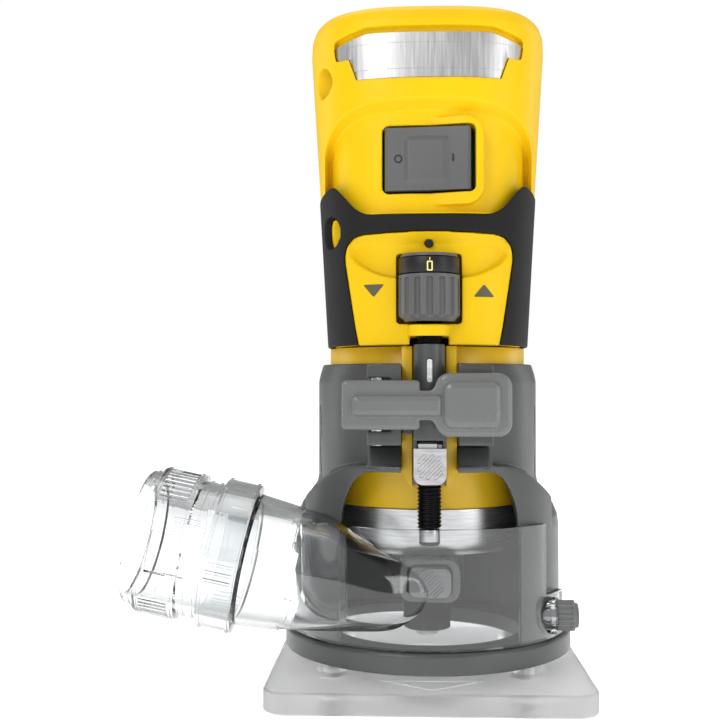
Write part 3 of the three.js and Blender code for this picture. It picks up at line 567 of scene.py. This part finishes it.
def build_rocker():
    half, face, axis_y = ROCKER["half"], ROCKER["face"], ROCKER["axis_y"]
    plan = [(-half, axis_y + 1), (-half, face + 0.5), (-half + 1, face - 0.4),
            (-half / 2, face - 0.15), (0, face),
            (half / 2, face - 0.15), (half - 1, face - 0.4), (half, face + 0.5), (half, axis_y + 1),
            (6, axis_y + 3), (-6, axis_y + 3)]
    body = extruded(plan, ROCKER["bottom"], ROCKER["top"])
    body = kept(body, extruded(rounded(-20, 20, ROCKER["bottom"], ROCKER["top"], 1.6), -60, 0, "y"))
    pad = pillow((-8.2, 7.4), (169.4, 186), 1.8, face + 1.5, face - 0.9, 2.0)
    body = softened(joined(body, pad), 0.2, 3)
    swing = (Matrix.Translation((0, axis_y, 0)) @ Matrix.Rotation(math.radians(-ROCKER["tilt"]), 4, "Z")
             @ Matrix.Translation((0, -axis_y, 0)))
    z = (ROCKER["bottom"] + ROCKER["top"]) / 2
    off = cut(extruded(circle(1.35, 32, -9.6, z), face - 0.42, face + 0.6, "y"),
              extruded(circle(0.95, 32, -9.6, z), face - 2, face + 2, "y"))
    on = extruded(rounded(8.2, 8.7, z - 1.3, z + 1.3, 0.2), face - 0.42, face + 0.6, "y")
    place(moved(body, swing), "switch_rocker", "rocker", DARK_GREY, "grey_plastic", ["power_rocker"])
    place(moved(off, swing), "off_mark", "rocker", BLACK, "black_plastic")
    place(moved(on, swing), "on_mark", "rocker", BLACK, "black_plastic")


# ------------------------------------------------------------------ depth knob and rod


def build_knob():
    r, bottom, grip = KNOB["r"], KNOB["bottom"], KNOB["grip"]
    at = Matrix.Translation((0, ROD_Y, 0))
    body = turned([(4.3, bottom), (r - 2, bottom), (r, bottom + 2), (r, grip), (KNOB["hub"], grip),
                   (KNOB["hub"], KNOB["ring"]), (4.3, KNOB["ring"])])
    flutes = [extruded(circle(1.0, 16, r * math.cos(a), r * math.sin(a)), bottom - 1, grip - 1.2)
              for a in (math.radians(24 * i + 6) for i in range(15))]
    place(moved(softened(cut(body, *flutes), 0.16, 3), at), "knob_grip", "knob", DARK_GREY, "grey_plastic",
          ["depth_knob"])
    ring = turned([(KNOB["hub"] + GAP, grip + GAP), (r - 0.2, grip + GAP), (r - 0.2, KNOB["ring"]),
                   (KNOB["hub"] + GAP, KNOB["ring"])])
    place(moved(bevelled(ring, 0.25), at), "dial", "scale", BLACK, "black_plastic", ["scale_ring"])
    foot, top = KNOB["ring"] + GAP, KNOB["top"]
    cap = turned([(0, foot), (r - 0.5, foot), (r - 0.9, top), (0, top)])
    place(moved(bevelled(cap, 0.2), at), "knob_top", "knob", DARK_GREY, "grey_plastic", ["knob_cap"])


def build_dial_marks():
    """A tick and a nought at the front of the dial."""
    r, low = KNOB["r"] - 0.2, KNOB["grip"] + 0.6
    at = Matrix.Translation((0, ROD_Y, 0))
    tick = block((-0.14, 0.14), (-r - 0.06, -r + 0.3), (low + 3.4, low + 4.3))
    place(moved(tick, at), "dial_tick", "scale", DIGIT, "black_plastic")
    nought = cut(extruded(rounded(-0.95, 0.95, low, low + 3.2, 0.4), -r - 0.07, -r + 0.3, "y"),
                 extruded(rounded(-0.5, 0.5, low + 0.45, low + 2.75, 0.2), -r - 2, -r + 2, "y"))
    place(moved(nought, at), "dial_nought", "scale", DIGIT, "black_plastic")


def build_rod():
    """Threaded depth rod with a plain journal at its foot."""
    pitch, crest, root, steps = 1.25, 4.0, 3.45, 48
    low, high = 57.6, 144.6
    rows = int((high - low) / pitch * 8)
    sections = []
    for k in range(rows + 1):
        z = low + (high - low) * k / rows
        section = []
        for i in range(steps):
            turn = i / steps
            phase = ((z - low) / pitch - turn) % 1
            r = root + (crest - root) * (1 - abs(2 * phase - 1))
            section.append((r * math.cos(2 * math.pi * turn), ROD_Y + r * math.sin(2 * math.pi * turn), z))
        sections.append(section)
    place(lofted(sections), "threaded_rod", "knob", BLACK_STEEL, "black_steel", ["depth_rod"], angle=80)
    at = Matrix.Translation((0, ROD_Y, 0))
    journal = turned([(0, 53.2), (3.4, 53.2), (3.4, 57.2), (0, 57.2)])
    place(moved(bevelled(journal, 0.2), at), "rod_journal", "knob", STEEL, "steel")
    tip = turned([(0, 52), (2.8, 52), (3.3, 52.4), (3.3, 53.1), (0, 53.1)])
    place(moved(tip, at), "rod_tip", "knob", BLACK_STEEL, "black_steel")


# ------------------------------------------------------------------ motor tube, nose and spindle


def build_sleeve():
    radius, bottom, top = TUBE["radius"], TUBE["bottom"], TUBE["top"]
    pipe = turned([(31.4, bottom), (radius - 0.4, bottom), (radius, bottom + 0.4), (radius, top), (27.2, top),
                   (27.2, top - 3), (31.4, top - 3)], 160)
    foot = arc(9, 180, 360, 24, 0, 77.4) + [(9, top), (-9, top)]
    pad = cut(extruded(foot, -38.2, -33, "y"), block((-5.6, 5.6), (-50, -radius - 0.1), (60, top + 1)))
    place(bevelled(joined(pipe, pad), 0.35), "motor_tube", "motor", YELLOW_TUBE, "yellow_tube",
          ["motor_sleeve"])


def build_nose():
    nose = turned([(7.5, 33), (13, 33), (13, 46.8), (29.4, 46.8), (31.6, 47.6), (33.4, 49.6), (34, 52),
                   (34, 62.4),
                   (31, 62.4), (31, 56), (16, 52.5), (16, 59), (13.3, 59), (13.3, 49.5), (7.5, 49.5)], 160)
    nose = cut(nose, extruded(circle(2.9, 32, 0, LOCK_Z), -20, 0, "y"))
    place(nose, "motor_nose", "motor", ALUMINIUM, "aluminium", ["nose_casting"])


def engraving(z, face, lengths, pitch):
    """Diagonal slot outlines to be cut into a button's face, around x = 0."""
    rings = []
    for i, length in enumerate(lengths):
        offset = (i - (len(lengths) - 1) / 2) * pitch * math.sqrt(0.5)
        outer, inner = [stadium(length, width, offset, z - offset) for width in (1.35, 0.62)]
        rings.append(cut(extruded(outer, face - 1, face + 0.7, "y"),
                         extruded(inner, face - 2, face + 2, "y")))
    return rings


def build_spindle_lock():
    bracket = extruded(rounded(-10, 10, 32.6, 46.5, 4), -37, -12, "y")
    bracket = cut(bracket, extruded(rounded(-7.4, 7.4, LOCK_Z - 5.4, LOCK_Z + 5.4, 3), -60, -27, "y"),
                  extruded(circle(13.3), 20, 60), extruded(circle(2.9, 32, 0, LOCK_Z), -60, 0, "y"))
    place(softened(bracket, 0.3), "lock_guide", "motor", GREY, "grey_plastic", ["lock_bracket"])
    face = rounded(-7, 7, LOCK_Z - 5, LOCK_Z + 5, 2.6)
    button = extruded(face, -40.9, -34.2, "y")
    button = cut(bevelled(button, 0.5, 3), extruded(circle(2.6, 32, 0, LOCK_Z), -38, -30, "y"),
                 *engraving(LOCK_Z, -40.9, (3.6, 6.2, 6.8, 6.2, 3.6), 1.95))
    # the lock button's face takes the steel darkened as painted shade
    place(button, "lock_button_face", "lock_button", SHADED_STEEL, "steel", ["spindle_lock_button"])


def build_collet_nut():
    hexagon = extruded(arc(9.4, 30, 330, 5), 17, 32.4)
    trim = turned([(0, 17), (8.2, 17), (9.6, 18), (9.6, 31.4), (8.2, 32.4), (0, 32.4)])
    bore = turned([(0, 15), (4.4, 15), (4.4, 19.6), (6.3, 19.6), (6.3, 34), (0, 34)])
    place(bevelled(cut(kept(hexagon, trim), bore), 0.2), "hex_nut", "nut", BLACK_STEEL, "black_steel",
          ["collet_nut"])


# ------------------------------------------------------------------ base


def build_sub_base():
    outline = lambda inset: rounded(-53.5 + inset, 53.5 - inset, -53.5 + inset, 53.5 - inset, 8 - inset, 12)
    plate = lofted([[(x, y, z) for x, y in outline(inset)]
                    for inset, z in [(0.6, 0), (0, 0.6), (0, 6.7), (0.6, 7.3)]])
    bosses = [extruded(circle(5.3, 48, sx * 32.7, sy * 24), 7, RING["bottom"] - 0.1)
              for sx in (-1, 1) for sy in (-1, 1)]
    plate = cut(joined(plate, *bosses), extruded(circle(15, 96), -1, 9))
    screws = [moved(turned([(0, -1), (5, -1), (5, 0.6), (2.3, 3.2), (2.3, 20), (0, 20)], 32),
                    Matrix.Translation((sx * 32.7, sy * 24, 0))) for sx in (-1, 1) for sy in (-1, 1)]
    chevron = [extruded(tri, 6.9, 8) for tri in ([(-16.4, -38.2), (0.6, -49.4), (17.8, -38.2)],
                                                 [(-13.6, -38.8), (0.6, -48.4), (15.0, -38.8)])]
    screws.append(cut(*chevron))
    place(cut(plate, *screws), "sole_plate", "base", FROSTED, "clear", ["sub_base"])


def ear(side):
    a, b = COLLAR["split"], COLLAR["split"] + EARS["web"]
    span = lambda x0, x1: sorted((side * x0, side * x1))
    web = block(span(a, b), (EARS["front"], -34), (EARS["bottom"], EARS["top"]))
    lugs = [block(span(a, EARS["outer"]), (EARS["front"], -30), heights)
            for heights in ((EARS["bottom"], 89.1), (105.9, EARS["top"]))]
    return joined(web, *lugs)


def build_casting():
    shell = turned([(33, 11.9), (50.8, 11.9), (50.8, 18.2), (50, 19), (46.8, 19), (46.8, 55),
                    (46.3, 58.5), (44.8, 62),
                    (41.5, 66.5), (39.6, 69), (39, 71.5), (39, 105), (38.5, 107.5), (37.4, 111), (35.15, 111),
                    (35.15, 66), (42.3, 55), (42.3, 19), (33, 19)], 160)
    arch_line = soft_corners([(-46.8, 19, 0), (46.8, 19, 0), (46.8, 54, 8), (43.6, 65, 8), (29.5, 77.6, 8),
                              (-29.5, 77.6, 8), (-43.6, 65, 8), (-46.8, 54, 8)])
    arch = kept(extruded(arch_line, -60, -20, "y"), extruded(circle(46.8, 160), 0, 90))
    shoulder = extruded([(-30, 77), (-44.6, 77), (-38.6, 83.5), (-30, 83.5)], -20, 20, "x")
    hollow = turned([(0, 18), (42.3, 18), (42.3, 55), (35.15, 66), (35.15, 130), (0, 130)], 160)
    body = cut(joined(shell, arch, shoulder), hollow)
    body = cut(joined(body, ear(-1), ear(1)), extruded(circle(35.15, 160), 66, 130))
    opening = soft_corners([(-29, 19, 0), (29, 19, 0), (29, 64, 7), (23, 75.6, 5), (-23, 75.6, 5),
                            (-29, 64, 7)])
    body = cut(body, extruded(opening, -60, 0, "y"), block((-9.2, 9.2), (-60, -20), (74.6, 130)))
    stays = [extruded(circle(2.2, 24, side * 31.5, -31), 18, 25) for side in (-1, 1)]
    body = joined(body, *stays)
    ribs = []
    for side in (-1, 1):
        for i in range(9):
            start = -40 + 4 * i
            lean = [(start, 70), (start + 1.2, 70), (start + 8, 98), (start + 6.8, 98)]
            ribs.append(extruded(lean, min(side * 36.9, side * 60), max(side * 36.9, side * 60), "x"))
    window = extruded(rounded(-12, 12, 71, 97, 3), -60, 60, "x")
    grooves = kept(joined(ribs[0], *ribs[1:]), window)
    body = cut(body, grooves, extruded(circle(2.2, 32, *PIVOT), 80, 120),
               extruded(circle(2.2, 32, -48, 97.5), -14, 14, "x"),
               extruded(circle(2.3, 32, THUMB["y"], THUMB["z"]), 20, 60, "x"))
    place(softened(body, 0.42, 4), "base_frame", "base", CASTING, "grey_casting", ["base_casting"])


def build_nut_post():
    post = joined(extruded(circle(5.1, 64, 0, ROD_Y), 94, 117), block((-5.3, 5.3), (-45.6, -38.5), (72, 95)),
                  block((-8.9, 8.9), (-45.3, -38.5), (88, 94)),
                  block((4.1, 5.3), (-48, -45.5), (81, 95)), block((-5.3, -4.1), (-48, -45.5), (81, 95)),
                  block((-5.3, 5.3), (-50.6, -47.9), (86.2, 95)))
    slot = extruded(rounded(-0.95, 0.95, 104.5, 112.5, 0.9), -47, ROD_Y, "y")
    post = cut(post, extruded(circle(4.35, 64, 0, ROD_Y), 60, 130), slot,
               block((-4.05, 4.05), (-49.2, -45.5), (80, 94)))
    # painted highlight: a pale steel insert in the post's slot draws the bright vertical highlight there
    key = extruded(rounded(-0.9, 0.9, 104.6, 112.2, 0.8), -45.5, -44.75, "y")
    place(bevelled(key, 0.1, 1), "post_slot_highlight", "base", HIGHLIGHT_STEEL, "steel")
    place(softened(post, 0.2, 3), "nut_post", "base", CASTING, "grey_casting", ["depth_nut_post"])
    outline = arc(3, 180, 270, 8, -2.2, 75.1) + arc(3, 270, 360, 8, 2.2, 75.1) + [(5.2, 83.6), (-5.2, 83.6)]
    face = joined(extruded(outline, -50.2, -48.3, "y"),
                  extruded(circle(1.5, 32, -46.9, 84.3), -3.7, 2.3, "x"),
                  block((-3.7, 2.3), (-48.4, -46.9), (82, 85)))
    reliefs = [block(span, (-48.9, -48), (79.5, 86)) for span in ((3.8, 5.4), (-5.4, -3.8))]
    face = cut(face, extruded(circle(1, 24, -46.9, 84.3), -8, 8, "x"), *reliefs,
               *engraving(77.9, -50.2, (2.6, 6.2, 8.0, 6.2, 2.6), 1.85))
    place(face, "release_face", "release", STEEL, "steel", ["release_button"])


def build_lever():
    back, face, raised = -51.8, -55, -57
    tongue = pillow((-27.8, -3.2), (89.7, 105.3), 1.4, back, face, 1.3)
    waist = soft_corners([(-4, 92.8, 0), (0.6, 92.8, 1), (3.2, 88.6, 0), (3.2, 106.4, 0), (0.6, 102, 1),
                          (-4, 102, 0)])
    neck = extruded(waist, back, face + 0.05, "y")
    paddle = pillow((1.6, 25.6), (87.5, 107.6), 4.5, back, face, 1.4)
    ridge = pillow((-24.6, 3.6), (94, 100.6), 1.2, face + 0.3, raised, 1.7)
    pad = pillow((3.9, 22.3), (90.1, 105), 3, face + 0.3, raised, 2.0)
    eyes = []
    for low, high in ((89.7, 95.1), (99.9, 105.3)):
        eyes += [extruded(circle(3.9, 48, *PIVOT), low, high),
                 block((PIVOT[0] - 3.9, PIVOT[0] + 3.9), (-51.9, PIVOT[1]), (low, high))]
    lever = cut(joined(tongue, neck, paddle, pad, ridge, *eyes), extruded(circle(2.2, 32, *PIVOT), 80, 120))
    place(softened(lever, 0.22, 3), "lever_arm", "lever", GREY, "grey_plastic", ["clamp_lever"])


def build_thumb_screw():
    r, y, z, start = THUMB["r"], THUMB["y"], THUMB["z"], THUMB["seat"] + GAP
    grip = extruded(circle(r, 96, y, z), start, start + 6, "x")
    flutes = [extruded(circle(0.55, 12, y + r * math.cos(a), z + r * math.sin(a)), start - 1, start + 5, "x")
              for a in (math.radians(20 * i) for i in range(18))]
    cap = extruded(circle(r - 1, 64, y, z), start + 5, start + THUMB["length"], "x")
    knob = cut(joined(cut(grip, *flutes), cap), extruded(circle(2.3, 32, y, z), start - 1, start + 4, "x"))
    place(softened(knob, 0.16, 4), "shroud_knob", "thumb_screw", GREY, "grey_plastic", ["thumb_knob"])


# ------------------------------------------------------------------ clear shroud and hose port

DUCT = [  # x, middle y, middle z, half depth, half height, tilt
    (PORT["x"] - 2, PORT["y"], PORT["z"] + 0.4, 20.2, 20.2, PORT["tilt"]),
    (-36, -39.4, 42.6, 18.6, 18.8, 8),
    (-28, -41.5, 41.2, 16.3, 16.9, 3),
    (-15, -42.5, 37.9, 13.2, 13.4, 0),
    (-8, -43, 37.2, 9.6, 11.6, 0),
    (-3, -44, 37.3, 6.8, 8.2, 0),
    (-0.4, -45, 37.6, 4.0, 3.6, 0),
]


def smooth_stations(stations, steps=5):
    """Catmull-Rom between the duct's stations."""
    ends = [stations[0], *stations, stations[-1]]
    made = []
    for a, b, c, d in zip(ends, ends[1:], ends[2:], ends[3:]):
        for k in range(steps):
            t = k / steps
            made.append(tuple(
                0.5 * (2 * q + (r - p) * t + (2 * p - 5 * q + 4 * r - s) * t * t
                       + (3 * q - p - 3 * r + s) * t ** 3)
                for p, q, r, s in zip(a, b, c, d)))
    return made + [stations[-1]]


def duct(inset):
    sections = []
    for x, y, z, depth, height, tilt in smooth_stations(DUCT):
        lean = math.radians(tilt)
        sections.append([(x + (height - inset) * s * math.sin(lean), y + (depth - inset) * c,
                          z + (height - inset) * s * math.cos(lean)) for c, s in circle(1, 96)])
    return lofted(sections)


ON_PORT = (Matrix.Translation((PORT["x"], PORT["y"], PORT["z"]))
           @ Matrix.Rotation(math.radians(PORT["tilt"] - 90), 4, "Y"))


def build_shroud():
    cage = extruded(circle(SHIELD["inner"], 160), 0, 90)
    horn = cut(duct(0), duct(2), cage)
    wall = extruded(sector(SHIELD["inner"], SHIELD["outer"], -158, -38, 96), SHIELD["bottom"], SHIELD["top"])
    opening = kept(duct(2), block((-27, 10), (-60, -30), (20, 60)))
    tab = extruded(sector(SHIELD["inner"], SHIELD["outer"], -40, -22, 24), SHIELD["bottom"], 34)
    boss = cut(extruded(circle(6.2, 64, THUMB["y"], THUMB["z"]), 36, THUMB["seat"], "x"),
               extruded(circle(SHIELD["inner"], 160), 0, 90))
    socket = moved(turned([(18.2, 0), (20.2, 0), (21.6, 14.4), (24.2, 14.8), (24.2, 26), (21, 26), (21, 15),
                           (19.4, 14)], 128), ON_PORT)
    throat = kept(moved(extruded(circle(18.2, 96), -4, 16), ON_PORT), block((-60, -43), (-80, 0), (0, 90)))
    hole = joined(extruded(circle(3.2, 48, THUMB["y"], THUMB["z"]), 30, 60, "x"),
                  extruded(circle(5.9, 64, THUMB["y"], THUMB["z"]), THUMB["seat"], 60, "x"))
    ribs = [moved(extruded(sector(23.9, 24.9, a, a + 2, 2), 15.6, 25.2), ON_PORT)
            for angle in (30, 150, 270) for a in (angle - 12 + 6 * k for k in range(5))]
    lips = [moved(turned([(23.8, low), (24.8, low), (24.8, low + 0.9), (23.8, low + 0.9)], 128), ON_PORT)
            for low in (15.4, 24.6)]
    body = joined(horn, cut(wall, opening), tab, boss, socket, *lips, *ribs)
    place(cut(body, hole, throat), "clear_shroud", "base", CLEAR, "clear", ["dust_shroud"])


def build_hose_port():
    body = turned([(18.6, 15.6), (20.7, 15.6), (20.7, 26.3), (22, 26.3), (22, 33), (23.7, 33.4), (23.7, 47),
                   (21.8, 47.6), (21.8, 51), (21.2, 51.6), (19.4, 51.6)], 128)
    slots = [extruded(sector(22.3, 26, angle - 16, angle + 16, 16), 36.5, 43.5) for angle in (30, 150, 270)]
    body = cut(body, *slots)
    hoops = [turned([(r - 0.4, low), (r + 0.45, low), (r + 0.45, low + 0.9), (r - 0.4, low + 0.9)], 128)
             for r, low in ((23.7, 34.2), (23.7, 45.2), (21.8, 48.6), (22, 27.6), (22, 30.6))]
    teeth = []
    for angle in (90, 210, 330):
        teeth += [extruded(sector(23.3, 24.3, a, a + 2.2, 2), 35.4, 44.6)
                  for a in (angle - 15 + 5 * k for k in range(7))]
    body = joined(body, *hoops, *teeth)
    place(moved(body, ON_PORT), "clear_hose_port", "base", CLEAR, "clear", ["hose_port"])


# ------------------------------------------------------------------ stage, light and camera


def build_stage():
    floor = mesh_object("floor", [(-6, -6, 0), (6, -6, 0), (6, 6, 0), (-6, 6, 0)], [(0, 1, 2, 3)])
    floor.location.z = -0.0005
    material, tree, shader = new_material("pale_floor")
    tree.links.new(ramp(tree, noise(tree, 3, 2), [(0.2, (0.93, 0.93, 0.93)), (0.8, (0.95, 0.95, 0.95))]),
                   shader.inputs["Base Color"])
    shader.inputs["Roughness"].default_value = 0.6
    shader.inputs["Specular IOR Level"].default_value = 0.1
    shader.inputs["Emission Color"].default_value = (1, 1, 1, 1)
    shader.inputs["Emission Strength"].default_value = 0.68
    floor.data.materials.append(material)


def area_light(name, place_at, target, size, power, shape="RECTANGLE"):
    light = bpy.data.lights.new(name, "AREA")
    light.shape = shape
    light.size, light.size_y = size
    light.energy = power
    obj = bpy.data.objects.new(name, light)
    obj.location = place_at
    obj.rotation_mode = "QUATERNION"
    obj.rotation_quaternion = (Vector(target) - Vector(place_at)).to_track_quat("-Z", "Y")
    bpy.context.scene.collection.objects.link(obj)


def build_light():
    """White surroundings that light softly, with a key, a fill and a top light."""
    world = bpy.data.worlds.new("studio")
    world.use_nodes = True
    tree = world.node_tree
    sweep = tree.nodes["Background"]
    sweep.inputs["Color"].default_value = (1, 1, 1, 1)
    sweep.inputs["Strength"].default_value = 1.0
    soft = tree.nodes.new("ShaderNodeBackground")
    soft.inputs["Color"].default_value = (1, 1, 1, 1)
    soft.inputs["Strength"].default_value = 0.4
    path = tree.nodes.new("ShaderNodeLightPath")
    lighting = tree.nodes.new("ShaderNodeMath")
    lighting.operation = "MAXIMUM"
    mix = tree.nodes.new("ShaderNodeMixShader")
    tree.links.new(path.outputs["Is Diffuse Ray"], lighting.inputs[0])
    tree.links.new(path.outputs["Is Glossy Ray"], lighting.inputs[1])
    tree.links.new(lighting.outputs["Value"], mix.inputs["Fac"])
    tree.links.new(sweep.outputs["Background"], mix.inputs[1])
    tree.links.new(soft.outputs["Background"], mix.inputs[2])
    tree.links.new(mix.outputs["Shader"], tree.nodes["World Output"].inputs["Surface"])
    bpy.context.scene.world = world
    target = (axis.x, axis.y, 0.12)
    area_light("key", (-0.45, -0.9, 0.7), target, (0.35, 0.6), 5)
    area_light("fill", (0.8, -0.55, 0.35), target, (0.25, 0.7), 2)
    area_light("top", (0.0, 0.15, 1.0), target, (0.8, 0.8), 4)
    area_light("rim_left", (-0.8, 0.35, 0.4), target, (0.25, 0.8), 1.2)
    area_light("rim_right", (0.8, 0.45, 0.4), target, (0.25, 0.8), 1.2)
    bpy.context.scene.view_settings.view_transform = "Standard"


def build_camera():
    """Camera at the photograph's viewing angle: in front, a little left, at mid height."""
    data = bpy.data.cameras.new("camera")
    data.sensor_width = 36.0
    data.lens = 54.6
    camera = bpy.data.objects.new("camera", data)
    camera.location = TO_FRAME @ Vector((-7.9, -397.0, 103.8))
    camera.rotation_euler = (math.radians(91.31), 0, math.radians(2.36))
    bpy.context.scene.collection.objects.link(camera)
    bpy.context.scene.camera = camera


# ------------------------------------------------------------------ CAD nodes that stay

FINISHES = {
    "steel": STEEL, "black_steel": BLACK_STEEL, "aluminium": ALUMINIUM, "copper": COPPER, "board": BOARD,
    "black_plastic": BLACK, "grey_plastic": GREY, "grey_casting": CASTING, "yellow_shell": YELLOW,
    "yellow_tube": YELLOW_TUBE, "rubber": RUBBER, "clear": CLEAR,
}


def finish_frame():
    """Every CAD node takes the procedural finish of its slot."""
    for entry in frame["record"]["subparts"]:
        node = frame["nodes"][entry["node"]]
        node.data.materials.clear()
        node.data.materials.append(FINISHES[entry["material_slot"]])
        node.data.set_sharp_from_angle(angle=math.radians(30))


finish_frame()
build_stage()
build_light()
build_camera()
build_housing()
build_rubber()
build_front_panel()
build_arrows()
build_name_plate()
build_rocker()
build_knob()
build_dial_marks()
build_rod()
build_sleeve()
build_nose()
build_spindle_lock()
build_collet_nut()
build_sub_base()
build_casting()
build_nut_post()
build_lever()
build_thumb_screw()
build_shroud()
build_hose_port()
